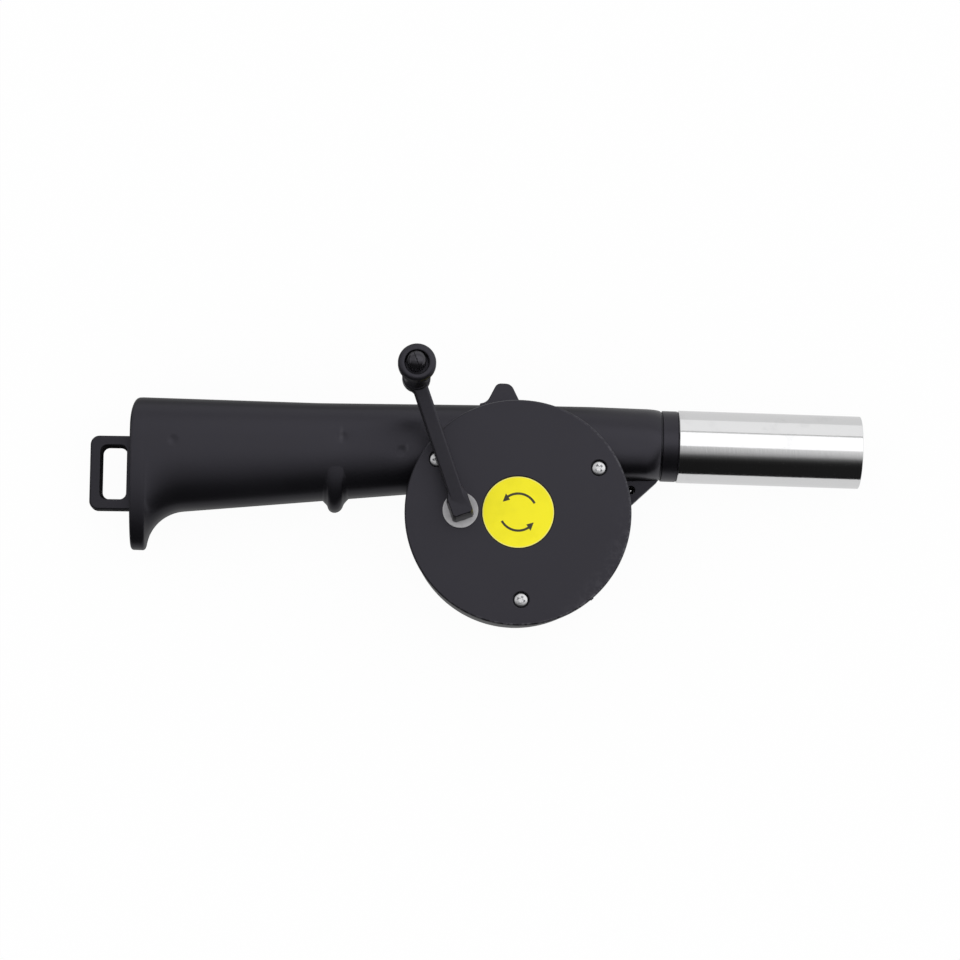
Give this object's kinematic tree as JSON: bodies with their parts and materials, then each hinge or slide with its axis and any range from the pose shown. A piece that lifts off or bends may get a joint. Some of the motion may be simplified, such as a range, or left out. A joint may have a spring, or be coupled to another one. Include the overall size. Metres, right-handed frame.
{
  "type": "manual barbecue blower",
  "caption": "Hand-cranked blower for fanning barbecue coals: moulded handle and round fan case, geared crank with a free-turning knob, steel air nozzle and hanging loop.",
  "frame": {"origin": "on the fan's axis, at the rear face that the blower lies on", "axes": "+X towards the nozzle's mouth, +Y towards the thumb stop, +Z out of the gear cover towards the crank's knob"},
  "size_m": [0.2687, 0.0885, 0.0857],
  "materials": {
    "housing": "fine satin moulding, black",
    "cover": "fine matt moulding, black",
    "badge": "yellow printed label",
    "screw": "bright zinc plate",
    "tube": "polished stainless steel",
    "loop": "satin moulding, black",
    "shaft": "ground steel",
    "gear": "natural acetal",
    "washer": "white nylon",
    "crank": "satin moulding, black",
    "knob": "satin moulding, black",
    "fan": "plain moulding, dark"
  },
  "bodies": {
    "housing": {"front_shell": "housing", "rear_shell": "housing", "gear_cover": "cover", "badge": "badge", "cover_screw_1": "screw", "cover_screw_2": "screw", "cover_screw_3": "screw", "shell_screw_1": "screw", "shell_screw_2": "screw", "shell_screw_3": "screw", "shell_screw_4": "screw", "shell_screw_5": "screw", "nozzle_tube": "tube", "hang_loop": "loop", "idler_pin": "shaft"},
    "crank": {"crank_arm": "crank", "crank_gear": "gear", "crank_washer": "washer"},
    "knob": {"crank_knob": "knob"},
    "idler": {"idler_gear": "gear"},
    "fan": {"fan_pinion": "gear", "fan_shaft": "shaft", "impeller": "fan"}
  },
  "joints": [
    {"name": "crank_turn", "type": "hinge", "parent": "housing", "child": "crank", "pos_m": [-0.01985, 0, 0.0373], "axis": [0, 0, 1], "continuous": true},
    {"name": "knob_spin", "type": "hinge", "parent": "crank", "child": "knob", "pos_m": [-0.03644, 0.04322, 0.07], "axis": [0, 0, 1], "continuous": true},
    {"name": "idler_spin", "type": "hinge", "parent": "housing", "child": "idler", "pos_m": [-0.0093, -0.01203, 0.027], "axis": [0, 0, 1], "continuous": true},
    {"name": "fan_spin", "type": "hinge", "parent": "housing", "child": "fan", "pos_m": [0, 0, 0.0195], "axis": [0, 0, 1], "continuous": true}
  ],
  "couplings": [
    {"joint": "idler_spin", "follows": "crank_turn", "ratio": -3},
    {"joint": "fan_spin", "follows": "crank_turn", "ratio": 8.4}
  ]
}
